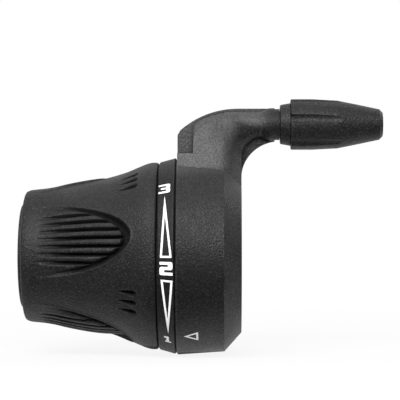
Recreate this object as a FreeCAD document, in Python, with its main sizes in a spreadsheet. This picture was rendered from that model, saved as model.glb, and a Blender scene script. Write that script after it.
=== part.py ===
import FreeCAD, Part
import math
import os
import Sketcher

Vector = FreeCAD.Vector
Rotation = FreeCAD.Rotation
Placement = FreeCAD.Placement

# Left-hand twist-grip gear shifter for a 22.2 mm handlebar.
# X runs along the bar, from the grip (minus) to the cable adjuster (plus), Z is up, the rider's
# side of the dial faces minus Y. The origin lies on the bar axis, in the middle of the housing.
# Lengths are in millimetres, angles in degrees. Angles about the bar are counted from the front
# (minus Y) upwards.

SIZES = {
    # bar and sleeve
    "bar_radius": 11.1,
    "bar_clearance": 0.05,
    "sleeve_wall": 0.95,
    "sleeve_overhang": 0.9,
    "turning_clearance": 0.08,
    "end_gap": 0.15,
    # ring that closes the sleeve
    "end_ring_seat": 0.35,
    "end_ring_width": 0.85,
    "end_ring_lip": 0.5,
    # housing
    "housing_width": 15.5,
    "housing_reach": 8.0,
    "mouth_radius": 23.85,
    "rim_taper": 0.75,
    "chamfer_width": 4.1,
    "chamfer_depth": 4.6,
    "edge_bevel": 0.3,
    "cup_thickness": 3.25,
    "cavity_depth": 6.9,
    "end_wall": 1.0,
    "relief_width": 0.8,
    "relief_sweep": 150.0,
    "slit_width": 2.0,
    # tower, web, elbow and arm
    "arm_rise": 7.9,
    "arm_forward": 1.5,
    "arm_reach": 16.0,
    "arm_radius": 3.95,
    "arm_flare": 2.5,
    "arm_end_length": 1.2,
    "neck_radius": 3.75,
    "neck_length": 1.15,
    "tube_radius": 3.1,
    "bend_radius": 8.6,
    "bend_inset": 0.2,
    "bend_end": 13.6,
    "web_thickness": 2.8,
    "web_edge": 0.1,
    "web_inset": 0.06,
    "web_shoulder_drop": 2.55,
    "web_shoulder_rise": 1.2,
    "web_shoulder_run": 0.7,
    "web_curve": 21.0,
    "web_crown": 7.0,
    "web_end": 15.0,
    "web_hollow": 7.0,
    "web_hollow_curve": 8.0,
    "tower_depth": 7.85,
    "tower_step": 0.15,
    "foot_inset": 0.12,
    "foot_rise": 0.85,
    "boss_left": 3.6,
    "boss_crown": 2.95,
    "boss_back": 0.3,
    "boss_shoulder_rise": 0.95,
    "boss_curve": 22.0,
    "boss_corner": 2.93,
    "boss_corner_run": 1.7,
    "boss_corner_drop": 2.7,
    "tower_rounding": 3.0,
    "boss_rounding": 0.8,
    "foot_rounding": 0.5,
    "face_forward": 10.0,
    "face_drop": 2.45,
    "face_lean": 26.0,
    # clamp screw
    "clamp_radius": 1.75,
    "clamp_hole_clearance": 0.1,
    "clamp_head_radius": 3.0,
    "clamp_head_height": 3.2,
    "clamp_key_radius": 1.6,
    "clamp_key_depth": 1.9,
    "clamp_inset": 8.65,
    "clamp_seat": 7.5,
    "clamp_tip": 1.2,
    "clamp_fit": 0.15,
    "washer_thickness": 0.5,
    "nut_radius": 3.4,
    "nut_height": 3.0,
    "nut_level": 6.0,
    # turning drum and its ring of numbers
    "ring_width": 4.1,
    "ring_gap": 0.15,
    "ring_step": 0.2,
    "ring_taper": 0.95,
    "detent_room": 3.6,
    "detent_width": 4.2,
    "drum_step": 1.1,
    "cable_depth": 1.1,
    "cable_groove": 0.7,
    "cable_floor": 0.35,
    "cable_inset": 1.9,
    "gear_step": 48.0,
    "nipple_radius": 1.6,
    "nipple_angle": 45.0,
    "thrust_thickness": 0.4,
    "thrust_gap": 0.05,
    "thrust_width": 3.22,
    "stop_height": 2.6,
    "stop_sweep": 14.0,
    "stop_angle": 75.0,
    "stop_margin": 1.5,
    "stop_width": 2.2,
    "stop_overlap": 1.6,
    # leaf spring
    "leaf_thickness": 0.4,
    "leaf_width": 2.4,
    "leaf_half_length": 8.5,
    "leaf_bow": 0.8,
    "leaf_clearance": 0.3,
    "leaf_inset": 0.7,
    "leaf_bead": 0.7,
    # rubber grip
    "seam_gap": 0.25,
    "grip_length": 32.1,
    "core_radius": 13.6,
    "grip_reach": 10.25,
    "core_flare_rise": 6.6,
    "core_flare_length": 13.0,
    "grip_tip_rise": 1.5,
    "grip_tip_rounding": 0.8,
    "grip_left_rise": 2.25,
    "grip_waist_rise": 5.35,
    "grip_waist": 11.5,
    "grip_flare_rise": 7.55,
    "grip_flare": 5.5,
    "grip_flare_curve": 24.0,
    "grip_step": 0.05,
    "grip_rim": 0.7,
    "grip_rim_curve": 26.0,
    "grip_rim_bevel": 0.4,
    # finger scoops
    "scoop_angle": 15.0,
    "scoop_centre": 6.0,
    "scoop_length": 20.2,
    "scoop_half_width": 8.6,
    "scoop_moat": 1.0,
    "floor_left_rise": 2.4,
    "floor_right_rise": 4.8,
    "floor_length": 25.0,
    "pad_left_rise": 2.2,
    "pad_mid_rise": 4.5,
    "pad_right_rise": 5.55,
    "pad_left": 2.6,
    "pad_mid": 14.6,
    "pad_right": 25.7,
    "pad_depth": 1.9,
    "groove_radius": 0.45,
    "groove_pitch": 6.25,
    "groove_start": 4.4,
    "groove_lift": 0.5,
    "groove_sink": 0.3,
    # slots on the ridges between the scoops
    "gill_radius": 0.5,
    "gill_pitch": 8.5,
    "gill_left": 23.1,
    "gill_length": 4.3,
    "gill_left_rise": 6.15,
    "gill_right_rise": 7.05,
    # cable guide
    "guide_radius": 1.25,
    "guide_bore": 0.75,
    "guide_shift": 1.2,
    "guide_bend": 7.0,
    "guide_end": 12.0,
    # barrel adjuster
    "insert_radius": 3.15,
    "insert_length": 4.7,
    "thread_clearance": 0.05,
    "collar_gap": 0.15,
    "collar_width": 2.4,
    "collar_left_radius": 4.75,
    "collar_radius": 5.15,
    "collar_bevel": 0.2,
    "collar_floor": 1.4,
    "hub_radius": 4.1,
    "hub_length": 4.6,
    "hub_bore": 3.35,
    "hub_key_height": 0.5,
    "hub_key_width": 1.4,
    "hub_clearance": 0.15,
    "knob_gap": 0.15,
    "knob_length": 22.15,
    "knob_radius": 6.1,
    "knob_straight": 5.2,
    "knob_waist": 11.2,
    "knob_waist_radius": 5.78,
    "knob_slope": 6.0,
    "knob_slope_radius": 4.8,
    "knob_nose_radius": 3.7,
    "knob_nose_bevel": 0.8,
    "knob_edge": 0.2,
    "knob_recess": 7.15,
    "flute_radius": 1.7,
    "flute_depth": 0.6,
    "flute_length": 12.0,
    "flute_angle": 11.0,
    "socket_radius": 2.15,
    "socket_depth": 8.0,
    "wire_hole": 1.1,
    "screw_radius": 2.45,
    "screw_tip": 12.0,
    "screw_head": 1.0,
    "screw_head_length": 4.5,
    "screw_head_radius": 3.3,
    "screw_clearance": 0.2,
    "spring_wire": 0.27,
    "spring_mean": 2.95,
    "spring_turns": 4.0,
    "spring_gap": 0.05,
}

SCOOPS = 4
GROOVES_PER_SIDE = 3
GILLS_PER_SIDE = 1
FLUTES = 6
GEARS = 3
COIL_RUNS = 16

doc = FreeCAD.newDocument("TwistShifter")
sheet = doc.addObject("Spreadsheet::Sheet", "Sizes")
for row, (name, number) in enumerate(SIZES.items(), start=1):
    sheet.set("A%d" % row, name)
    sheet.set("B%d" % row, str(number))
    sheet.setAlias("B%d" % row, name)
doc.recompute()


# A size carries its number and the expression that gives it in the document
class Size:
    def __init__(self, number, text):
        self.number = number
        self.text = text

    def __add__(self, other):
        other = as_size(other)
        return Size(self.number + other.number, "(%s + %s)" % (self.text, other.text))

    def __radd__(self, other):
        return as_size(other) + self

    def __sub__(self, other):
        other = as_size(other)
        return Size(self.number - other.number, "(%s - %s)" % (self.text, other.text))

    def __rsub__(self, other):
        return as_size(other) - self

    def __mul__(self, other):
        other = as_size(other)
        return Size(self.number * other.number, "%s * %s" % (self.text, other.text))

    def __rmul__(self, other):
        return as_size(other) * self

    def __truediv__(self, other):
        other = as_size(other)
        return Size(self.number / other.number, "%s / (%s)" % (self.text, other.text))

    def __neg__(self):
        return Size(-self.number, "(0 - %s)" % self.text)


def as_size(value):
    if isinstance(value, Size):
        return value
    return Size(float(value), "(%.9g)" % float(value))


def sine(angle):
    angle = as_size(angle)
    return Size(math.sin(math.radians(angle.number)), "sin(%s)" % angle.text)


def cosine(angle):
    angle = as_size(angle)
    return Size(math.cos(math.radians(angle.number)), "cos(%s)" % angle.text)


def root(value):
    return Size(math.sqrt(value.number), "sqrt(%s)" % value.text)


class Sheet:
    pass


s = Sheet()
for name in SIZES:
    setattr(s, name, Size(float(sheet.get(name)), "Sizes.%s" % name))


# Helpers that make objects of the document and bind their sizes

def bind(item, path, value):
    item.setExpression(path, as_size(value).text)


def move(item, x=0.0, y=0.0, z=0.0, turn=None):
    turn = turn or Rotation()
    base = Vector(as_size(x).number, as_size(y).number, as_size(z).number)
    item.Placement = Placement(base, turn)
    for axis, value in (("x", x), ("y", y), ("z", z)):
        if isinstance(value, Size):
            bind(item, "Placement.Base." + axis, value)
    return item


TO_X = Rotation(Vector(0, 1, 0), 90)


def rod(name, radius, start, length, y=0.0, z=0.0):
    item = doc.addObject("Part::Cylinder", name)
    bind(item, "Radius", radius)
    bind(item, "Height", length)
    return move(item, start, y, z, TO_X)


def post(name, radius, x, y, z, height):
    item = doc.addObject("Part::Cylinder", name)
    bind(item, "Radius", radius)
    bind(item, "Height", height)
    return move(item, x, y, z)


def taper(name, first, second, start, length, y=0.0, z=0.0):
    item = doc.addObject("Part::Cone", name)
    bind(item, "Radius1", first)
    bind(item, "Radius2", second)
    bind(item, "Height", length)
    return move(item, start, y, z, TO_X)


def ball(name, radius, x, y, z):
    item = doc.addObject("Part::Sphere", name)
    bind(item, "Radius", radius)
    return move(item, x, y, z)


def block(name, length, width, height, x, y, z):
    item = doc.addObject("Part::Box", name)
    bind(item, "Length", length)
    bind(item, "Width", width)
    bind(item, "Height", height)
    return move(item, x, y, z)


def prism(name, radius, height, x, y, z, turn=None):
    item = doc.addObject("Part::Prism", name)
    item.Polygon = 6
    bind(item, "Circumradius", radius)
    bind(item, "Height", height)
    return move(item, x, y, z, turn)


def fuse(name, items):
    item = doc.addObject("Part::MultiFuse", name)
    item.Shapes = items
    return item


def cut(name, base, tool):
    item = doc.addObject("Part::Cut", name)
    item.Base = base
    item.Tool = tool
    return item


def common(name, first, second):
    item = doc.addObject("Part::Common", name)
    item.Base = first
    item.Tool = second
    return item


# A sector of a ring about the bar, from one angle upwards
def sector(name, inner, outer, start, length, angle, sweep):
    wedge = doc.addObject("Part::Cylinder", name + "_wedge")
    bind(wedge, "Radius", outer)
    bind(wedge, "Height", length)
    bind(wedge, "Angle", sweep)
    last = as_size(angle).number + as_size(sweep).number
    spin = Rotation(Vector(1, 0, 0), -last - 90)
    move(wedge, start, 0.0, 0.0, spin.multiply(TO_X))
    core = rod(name + "_core", inner, start - 1.0, length + 2.0)
    return cut(name, wedge, core)


# Closed outline: each corner is (x, y) or (x, y, radius), where the radius bends the side that
# leaves the corner; a positive radius turns left along the outline.
def outline(body, name, plane, corners, offset=None):
    sketch = body.newObject("Sketcher::SketchObject", name)
    faces = [item for item in body.Origin.OriginFeatures if item.Role == plane]
    sketch.AttachmentSupport = [(faces[0], "")]
    sketch.MapMode = "FlatFace"
    if offset is not None:
        bind(sketch, "AttachmentOffset.Base.z", offset)
    count = len(corners)
    spots = []
    for corner in corners:
        spots.append((as_size(corner[0]), as_size(corner[1])))
    begins = []
    ends = []
    for index, corner in enumerate(corners):
        first = Vector(spots[index][0].number, spots[index][1].number, 0)
        after = spots[(index + 1) % count]
        last = Vector(after[0].number, after[1].number, 0)
        if len(corner) == 2:
            sketch.addGeometry(Part.LineSegment(first, last), False)
            begins.append(1)
            ends.append(2)
            continue
        radius = as_size(corner[2]).number
        chord = last - first
        normal = Vector(-chord.y, chord.x, 0).normalize()
        reach = math.sqrt(radius * radius - chord.Length * chord.Length / 4)
        side = 1.0 if radius > 0 else -1.0
        centre = (first + last) * 0.5 + normal * (reach * side)
        circle = Part.Circle(centre, Vector(0, 0, 1), abs(radius))
        a = math.atan2(first.y - centre.y, first.x - centre.x)
        b = math.atan2(last.y - centre.y, last.x - centre.x)
        if radius > 0:
            sketch.addGeometry(Part.ArcOfCircle(circle, a, b if b > a else b + 2 * math.pi), False)
            begins.append(1)
            ends.append(2)
        else:
            sketch.addGeometry(Part.ArcOfCircle(circle, b, a if a > b else a + 2 * math.pi), False)
            begins.append(2)
            ends.append(1)
    for index in range(count):
        after = (index + 1) % count
        sketch.addConstraint(
            Sketcher.Constraint("Coincident", index, ends[index], after, begins[after]))
    for index, (x, y) in enumerate(spots):
        for kind, value, tag in (("DistanceX", x, "x"), ("DistanceY", y, "y")):
            number = sketch.addConstraint(
                Sketcher.Constraint(kind, -1, 1, index, begins[index], value.number))
            sketch.renameConstraint(number, "%s%d" % (tag, index))
            bind(sketch, "Constraints.%s%d" % (tag, index), value)
    for index, corner in enumerate(corners):
        if len(corner) == 3:
            radius = as_size(corner[2])
            radius = radius if radius.number > 0 else -radius
            number = sketch.addConstraint(Sketcher.Constraint("Radius", index, radius.number))
            sketch.renameConstraint(number, "r%d" % index)
            bind(sketch, "Constraints.r%d" % index, radius)
    return sketch


# Solid of revolution about X from an outline in (x, radius)
def turned(name, corners):
    body = doc.addObject("PartDesign::Body", name)
    sketch = outline(body, name + "_profile", "XZ_Plane", corners)
    spin = body.newObject("PartDesign::Revolution", name + "_turn")
    spin.Profile = sketch
    spin.ReferenceAxis = (sketch, ["H_Axis"])
    spin.Angle = 360
    sketch.Visibility = False
    return body


# Plate from an outline in (x, z), from its back towards the front
def plate(name, corners, back, thickness):
    body = doc.addObject("PartDesign::Body", name)
    sketch = outline(body, name + "_profile", "XZ_Plane", corners, -as_size(back))
    pad = body.newObject("PartDesign::Pad", name + "_pad")
    pad.Profile = sketch
    bind(pad, "Length", thickness)
    return body


# Rounds the edges of a solid that a test picks
def rounded(name, base, radius, test):
    doc.recompute()
    item = doc.addObject("Part::Fillet", name)
    item.Base = base
    edges = []
    for index, edge in enumerate(base.Shape.Edges, start=1):
        if test(edge):
            edges.append((index, radius.number, radius.number))
    item.Edges = edges
    return item


def named(item, label, place=None):
    item.Label = label
    pieces.append(item)
    return item


pieces = []

# Places along the bar
housing_right = s.housing_reach
housing_left = housing_right - s.housing_width
cavity_end = housing_left + s.cavity_depth
slot_start = cavity_end + s.end_wall
slot_end = slot_start + s.relief_width
ring_right = housing_left - s.ring_gap
ring_left = ring_right - s.ring_width
grip_right = ring_left - s.seam_gap
grip_left = grip_right - s.grip_length
sleeve_left = grip_left - s.sleeve_overhang
end_ring_right = sleeve_left + s.end_ring_width
rotor_left = end_ring_right + s.end_gap
drum_end = cavity_end - s.thrust_thickness - s.thrust_gap * 2
cable_x = cavity_end - s.cable_inset

# Radii about the bar
mouth = s.mouth_radius
rim = mouth - s.rim_taper
cavity = mouth - s.cup_thickness
ring_edge = mouth - s.ring_step
ring_left_edge = ring_edge - s.ring_taper
grip_edge = ring_left_edge - s.grip_step


# Radius of the drum and grip at a height over the core, which is a share of the way to the mouth
def swell(rise):
    return s.core_radius + rise * (s.mouth_radius - s.core_radius) / s.grip_reach


detent = cavity - s.detent_room
drum = detent - s.drum_step
cable = drum - s.cable_depth
bore = s.bar_radius + s.bar_clearance
sleeve = bore + s.sleeve_wall
spigot = sleeve - s.end_ring_seat
rotor_bore = sleeve + s.turning_clearance

# Arm and elbow
arm_y = -s.arm_forward
arm_z = mouth + s.arm_rise
tower_root = mouth - s.tower_depth
face_level = mouth - s.face_drop
foot_top = mouth + s.foot_rise
boss_top = arm_z + s.boss_crown
boss_shoulder = arm_z + s.boss_shoulder_rise
web_shoulder = arm_z - s.web_shoulder_drop
clamp_y = mouth - s.clamp_inset
web_back = s.web_thickness - s.arm_forward
web_top = arm_z + s.arm_radius - s.web_edge
web_low = arm_z - s.arm_radius + s.web_edge
edge_x = housing_right - s.chamfer_width
neck_end = s.arm_reach + s.neck_length

# Housing: cup, clamp band and sleeve
shell = turned("shell", [
    (sleeve_left, bore),
    (housing_right, bore),
    (housing_right, rim - s.chamfer_depth),
    (edge_x, rim),
    (housing_left + s.edge_bevel, mouth),
    (housing_left, mouth - s.edge_bevel),
    (housing_left, cavity),
    (cavity_end, cavity),
    (cavity_end, sleeve),
    (end_ring_right, sleeve),
    (end_ring_right, spigot),
    (sleeve_left, spigot),
])

# Web that carries the elbow
web = plate("web", [
    (housing_left + s.web_inset, tower_root - s.tower_step * 2),
    (housing_right - s.tower_step * 2, tower_root - s.tower_step * 2),
    (housing_right - s.tower_step * 2, web_low - s.web_hollow, -s.web_hollow_curve),
    (s.web_end, web_low),
    (s.web_end, web_top),
    (s.web_crown, web_top, s.web_curve),
    (housing_left + s.web_inset + s.web_shoulder_run, web_shoulder + s.web_shoulder_rise),
    (housing_left + s.web_inset, web_shoulder),
], web_back, s.web_thickness)

# Tower: a foot over the full width and a narrower boss, behind one leaning face
foot_blank = plate("foot_blank", [
    (housing_left + s.foot_inset, tower_root - s.tower_step),
    (housing_right - s.tower_step, tower_root - s.tower_step),
    (housing_right - s.tower_step, foot_top),
    (housing_left + s.foot_inset, foot_top),
], web_back - s.boss_back * 2, s.face_forward * 2)
boss_blank = plate("boss_blank", [
    (-s.boss_left, tower_root),
    (housing_right, tower_root),
    (housing_right, boss_top),
    (s.web_crown, boss_top, s.boss_curve),
    (-s.boss_left + s.boss_corner_run, boss_shoulder, s.boss_corner),
    (-s.boss_left, boss_shoulder - s.boss_corner_drop),
], web_back - s.boss_back, s.face_forward * 2)


round_run = s.tower_rounding * math.tan(math.pi / 8)


def leaning_block(name):
    body = doc.addObject("PartDesign::Body", name)
    sketch = outline(body, name + "_profile", "XY_Plane", [
        (-s.housing_width, 0.0),
        (edge_x - round_run, 0.0, s.tower_rounding),
        (edge_x + round_run * cosine(45.0), round_run * sine(45.0)),
        (housing_right, s.chamfer_width),
        (s.housing_width, s.chamfer_width),
        (s.housing_width, s.face_forward * 2),
        (-s.housing_width, s.face_forward * 2),
    ], -face_level / 2)
    pad = body.newObject("PartDesign::Pad", name + "_pad")
    pad.Profile = sketch
    bind(pad, "Length", face_level * 2)
    return move(body, 0.0, -s.face_forward, face_level,
                Rotation(Vector(1, 0, 0), -s.face_lean.number))


face_normal = Rotation(Vector(1, 0, 0), -s.face_lean.number).multVec(Vector(0, -1, 0))
face_spot = Vector(0, -s.face_forward.number, face_level.number)


def on_front_face(edge):
    for point in edge.discretize(5):
        if abs((point - face_spot).dot(face_normal)) > 1e-4:
            return False
    box = edge.BoundBox
    if box.XMin > edge_x.number - 1e-3:
        return False
    return box.ZMin > tower_root.number + 1.0 or box.ZLength > 1.0


foot_raw = common("foot_raw", foot_blank, leaning_block("foot_lean"))
foot = rounded("foot", foot_raw, s.foot_rounding, on_front_face)
boss_raw = common("boss_raw", boss_blank, leaning_block("boss_lean"))
boss = rounded("boss", boss_raw, s.boss_rounding, on_front_face)

# Elbow and arm
elbow = doc.addObject("Part::Torus", "elbow")
bind(elbow, "Radius1", s.bend_radius)
bind(elbow, "Radius2", s.tube_radius - s.bend_inset)
elbow.Angle3 = 90
bend_turn = Rotation(Vector(-1, 0, 0), Vector(0, 0, 1), Vector(0, 1, 0), "XYZ")
move(elbow, s.bend_end, arm_y, arm_z - s.bend_radius, bend_turn)
arm_flat = s.arm_reach - s.arm_end_length
arm_tube = rod("arm_tube", s.tube_radius, edge_x, arm_flat - edge_x, arm_y, arm_z)
arm_cone = taper("arm_cone", s.tube_radius, s.arm_radius, arm_flat - s.arm_flare, s.arm_flare,
                 arm_y, arm_z)
arm_end = rod("arm_end", s.arm_radius, arm_flat, s.arm_end_length, arm_y, arm_z)
neck = rod("neck", s.neck_radius, s.arm_reach - 1.0, s.neck_length + 1.0, arm_y, arm_z)
tower = fuse("tower", [foot, boss, web, elbow, arm_tube, arm_cone, arm_end, neck])
cup_wall = (cavity + mouth) / 2
cup_space = rod("cup_space", cup_wall, housing_left - 1.0, s.cavity_depth + 1.0 + s.end_wall / 2)
tower_clear = cut("tower_clear", tower, cup_space)

# Stops for the drum in the cup
stop_low = s.stop_angle - (GEARS - 1) * s.gear_step
first_stop = sector("first_stop", cavity - s.stop_overlap, cavity + s.edge_bevel,
                    cavity_end - s.detent_width - s.stop_width, s.stop_width,
                    s.stop_angle + s.stop_sweep / 2 + s.stop_margin, s.stop_sweep)
last_stop = sector("last_stop", cavity - s.stop_overlap, cavity + s.edge_bevel,
                   cavity_end - s.detent_width - s.stop_width, s.stop_width,
                   stop_low - s.stop_sweep * 1.5 - s.stop_margin, s.stop_sweep)

# Cable path: straight off the drum, round the elbow, out along the arm
drum_reach = math.hypot(arm_y.number, arm_z.number)
drum_tilt = math.atan2(s.arm_forward.number, arm_z.number)
drum_angle = drum_tilt + math.acos(cable.number / drum_reach)
leave = Vector(cable_x.number, -cable.number * math.sin(drum_angle),
               cable.number * math.cos(drum_angle))
bend_corner = Vector(cable_x.number + s.guide_shift.number, arm_y.number, arm_z.number)
cable_run = (bend_corner - leave).normalize()
along_arm = Vector(1, 0, 0)
turn_half = cable_run.getAngle(along_arm) / 2
bend_leg = s.guide_bend.number * math.tan(turn_half)
bend_first = bend_corner - cable_run * bend_leg
bend_last = bend_corner + along_arm * bend_leg
inward = (along_arm - cable_run).normalize()
bend_middle = (bend_corner + inward * (s.guide_bend.number / math.cos(turn_half))
               - inward * s.guide_bend.number)


# Tube along the cable path, from a radius about the bar to a place along the arm
def along_cable(name, start_radius, end, radius):
    low = 0.0
    high = (bend_first - leave).Length
    for _ in range(60):
        middle = (low + high) / 2
        point = leave + cable_run * middle
        if math.hypot(point.y, point.z) < start_radius:
            low = middle
        else:
            high = middle
    start = leave + cable_run * low
    path = Part.Wire([
        Part.LineSegment(start, bend_first).toShape(),
        Part.Arc(bend_first, bend_middle, bend_last).toShape(),
        Part.LineSegment(bend_last, Vector(end, arm_y.number, arm_z.number)).toShape(),
    ])
    section = Part.Wire([Part.Circle(start, cable_run, radius).toShape()])
    item = doc.addObject("Part::Feature", name)
    item.Shape = path.makePipeShell([section], True, False)
    return item


guide_way = along_cable("guide_way", cavity.number - 2.0, s.guide_end.number,
                        s.guide_radius.number)

# Openings of the housing
slit = block("slit", s.housing_width, mouth + 2.0 - bore, s.slit_width,
             slot_start, bore - 1.0, -s.slit_width / 2)
relief = sector("relief", bore - 1.0, mouth + 2.0, slot_start, s.relief_width,
                180.0 - s.relief_sweep / 2, s.relief_sweep)
band_middle = (slot_end + housing_right) / 2
bolt_hole = post("bolt_hole", s.clamp_radius + s.clamp_hole_clearance, band_middle, clamp_y,
                 -s.clamp_seat - 1.0, s.clamp_seat + s.nut_level + 2.0)
head_hole = post("head_hole", s.clamp_head_radius + s.clamp_fit, band_middle, clamp_y,
                 -mouth, mouth - s.clamp_seat)
nut_turn = Rotation(Vector(0, 0, 1), 90)
nut_hole = prism("nut_hole", s.nut_radius + s.clamp_fit, mouth - s.nut_level,
                 band_middle, clamp_y, s.nut_level, nut_turn)
arm_bore = rod("arm_bore", s.screw_radius + s.thread_clearance * 2, s.screw_tip - 0.6,
               neck_end - s.screw_tip + 1.6, arm_y, arm_z)
insert_bore = rod("insert_bore", s.insert_radius, neck_end - s.insert_length,
                  s.insert_length + 1.0, arm_y, arm_z)
openings = fuse("openings", [slit, relief, bolt_hole, head_hole, nut_hole, arm_bore,
                             insert_bore, guide_way])
solid_housing = fuse("solid_housing", [shell, tower_clear, first_stop, last_stop])
named(cut("housing_part", solid_housing, openings), "housing")

# Ring that keeps the rotor on the sleeve
named(turned("end_ring_part", [
    (sleeve_left, spigot),
    (end_ring_right, spigot),
    (end_ring_right, sleeve + s.end_ring_lip),
    (sleeve_left + s.edge_bevel, sleeve + s.end_ring_lip),
    (sleeve_left, sleeve + s.end_ring_lip - s.edge_bevel),
]), "end_ring")

# Washer between the drum and the end wall
named(turned("thrust_washer_part", [
    (drum_end + s.thrust_gap, rotor_bore),
    (drum_end + s.thrust_gap + s.thrust_thickness, rotor_bore),
    (drum_end + s.thrust_gap + s.thrust_thickness, rotor_bore + s.thrust_width),
    (drum_end + s.thrust_gap, rotor_bore + s.thrust_width),
]), "thrust_washer")

# Rotor: drum, ring of numbers and the tube under the rubber
rotor_blank = turned("rotor_blank", [
    (rotor_left, rotor_bore),
    (drum_end, rotor_bore),
    (drum_end, drum),
    (cable_x + s.cable_groove, drum),
    (cable_x + s.cable_floor, cable),
    (cable_x - s.cable_floor, cable),
    (cable_x - s.cable_groove, drum),
    (cavity_end - s.detent_width + 1.0, drum),
    (cavity_end - s.detent_width + 1.0, detent),
    (ring_right, detent),
    (ring_right, ring_edge - s.edge_bevel),
    (ring_right - s.edge_bevel, ring_edge),
    (ring_left + s.edge_bevel, ring_left_edge),
    (ring_left, ring_left_edge - s.edge_bevel),
    (ring_left, swell(s.core_flare_rise)),
    (ring_left - s.core_flare_length, s.core_radius),
    (rotor_left, s.core_radius),
])
rotor_tools = []
leaf_y = detent + s.leaf_clearance
bead_y = leaf_y + s.leaf_thickness - s.leaf_bead
for gear in range(GEARS):
    angle = 180.0 + gear * s.gear_step
    notch = rod("notch_%d" % (gear + 1), s.leaf_bead + s.leaf_clearance / 2,
                ring_right + 0.1, -ring_right,
                -bead_y * cosine(angle), bead_y * sine(angle))
    rotor_tools.append(notch)
nipple_seat = cable - s.nipple_radius / 2
nipple_hole = rod("nipple_hole", s.nipple_radius, drum_end - s.nipple_radius * 2,
                  s.nipple_radius * 2 + 1.0,
                  -nipple_seat * cosine(s.nipple_angle), -nipple_seat * sine(s.nipple_angle))
rotor_tools.append(nipple_hole)
drum_stop = sector("drum_stop", detent - s.stop_overlap, detent + s.stop_height,
                   cavity_end - s.detent_width - s.stop_width, s.stop_width - s.ring_gap,
                   s.stop_angle - s.stop_sweep / 2, s.stop_sweep)
rotor_cut = cut("rotor_cut", rotor_blank, fuse("rotor_tools", rotor_tools))
named(fuse("rotor_part", [rotor_cut, drum_stop]), "rotor")

# Leaf spring behind the drum
leaf_body = doc.addObject("PartDesign::Body", "leaf_body")
leaf_low = leaf_y + s.leaf_bow
leaf_curve = (s.leaf_half_length * s.leaf_half_length + s.leaf_bow * s.leaf_bow) / (2 * s.leaf_bow)
leaf_sketch = outline(leaf_body, "leaf_profile", "YZ_Plane", [
    (leaf_low, -s.leaf_half_length),
    (leaf_low + s.leaf_thickness, -s.leaf_half_length, -leaf_curve),
    (leaf_low + s.leaf_thickness, s.leaf_half_length),
    (leaf_low, s.leaf_half_length, leaf_curve),
], housing_left + s.leaf_inset)
leaf_pad = leaf_body.newObject("PartDesign::Pad", "leaf_pad")
leaf_pad.Profile = leaf_sketch
bind(leaf_pad, "Length", s.leaf_width)
leaf_bead = rod("leaf_bead_rod", s.leaf_bead, housing_left + s.leaf_inset, s.leaf_width, bead_y, 0.0)
named(fuse("leaf_part", [leaf_body, leaf_bead]), "detent_spring")

# Rubber grip
flare_slope = (swell(s.core_flare_rise) - s.core_radius) / s.core_flare_length
waist_x = grip_right - s.grip_waist
flare_x = grip_right - s.grip_flare
rim_x = grip_right - s.grip_rim
grip_blank = turned("grip_blank", [
    (grip_left, s.core_radius),
    (ring_left - s.core_flare_length, s.core_radius),
    (grip_right, swell(s.core_flare_rise) - s.seam_gap * flare_slope),
    (grip_right, grip_edge - s.grip_rim_bevel),
    (rim_x, grip_edge, s.grip_rim_curve),
    (flare_x, swell(s.grip_flare_rise), -s.grip_flare_curve),
    (waist_x, swell(s.grip_waist_rise)),
    (grip_left + s.grip_tip_rounding, swell(s.grip_left_rise)),
    (grip_left, swell(s.grip_tip_rise)),
])
floor_end = grip_left + s.floor_length
floor_slope = (swell(s.floor_right_rise) - swell(s.floor_left_rise)) / s.floor_length
floor_core = turned("floor_core", [
    (grip_left - 2.0, s.core_radius - 2.0),
    (floor_end + 4.0, s.core_radius - 2.0),
    (floor_end + 4.0, swell(s.floor_right_rise) + 4.0 * floor_slope),
    (grip_left - 2.0, swell(s.floor_left_rise) - 2.0 * floor_slope),
])
pad_ring = turned("pad_ring", [
    (grip_left + s.pad_left, swell(s.pad_left_rise) - s.pad_depth),
    (grip_left + s.pad_mid, swell(s.pad_mid_rise) - s.pad_depth),
    (grip_left + s.pad_right, swell(s.pad_right_rise) - s.pad_depth),
    (grip_left + s.pad_right, swell(s.pad_right_rise)),
    (grip_left + s.pad_mid, swell(s.pad_mid_rise)),
    (grip_left + s.pad_left, swell(s.pad_left_rise)),
])
scoop_x = grip_left + s.scoop_centre


# Direction and turn of something that faces outwards at an angle about the bar
def outward(angle):
    radians = math.radians(angle)
    return Vector(0, -math.cos(radians), math.sin(radians))


def scoop_prism(name, length, half_width, angle):
    ring = doc.addObject("Part::Ellipse", name + "_ring")
    bind(ring, "MajorRadius", length)
    bind(ring, "MinorRadius", half_width)
    facing = Rotation(Vector(1, 0, 0), outward(angle.number).cross(Vector(1, 0, 0)),
                      outward(angle.number), "XYZ")
    move(ring, scoop_x, -s.core_radius * cosine(angle), s.core_radius * sine(angle), facing)
    item = doc.addObject("Part::Extrusion", name)
    item.Base = ring
    item.DirMode = "Custom"
    item.Dir = outward(angle.number)
    bind(item, "LengthFwd", grip_edge - s.core_radius + 2.0)
    item.Solid = True
    return item


# Square bar on edge that sinks into the grip, from one radius at the left to another at the right
def sinking_bar(name, radius, angle, start, length, first, last):
    tilt = math.atan2((last - first).number, length.number)
    facing = outward(angle.number)
    axis = Vector(1, 0, 0) * math.cos(tilt) + facing * math.sin(tilt)
    across = facing.cross(Vector(1, 0, 0))
    item = doc.addObject("Part::Prism", name)
    item.Polygon = 4
    bind(item, "Circumradius", radius)
    bind(item, "Height", length / math.cos(tilt))
    return move(item, start, -first * cosine(angle), first * sine(angle),
                Rotation(across, axis.cross(across), axis, "XYZ"))


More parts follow.
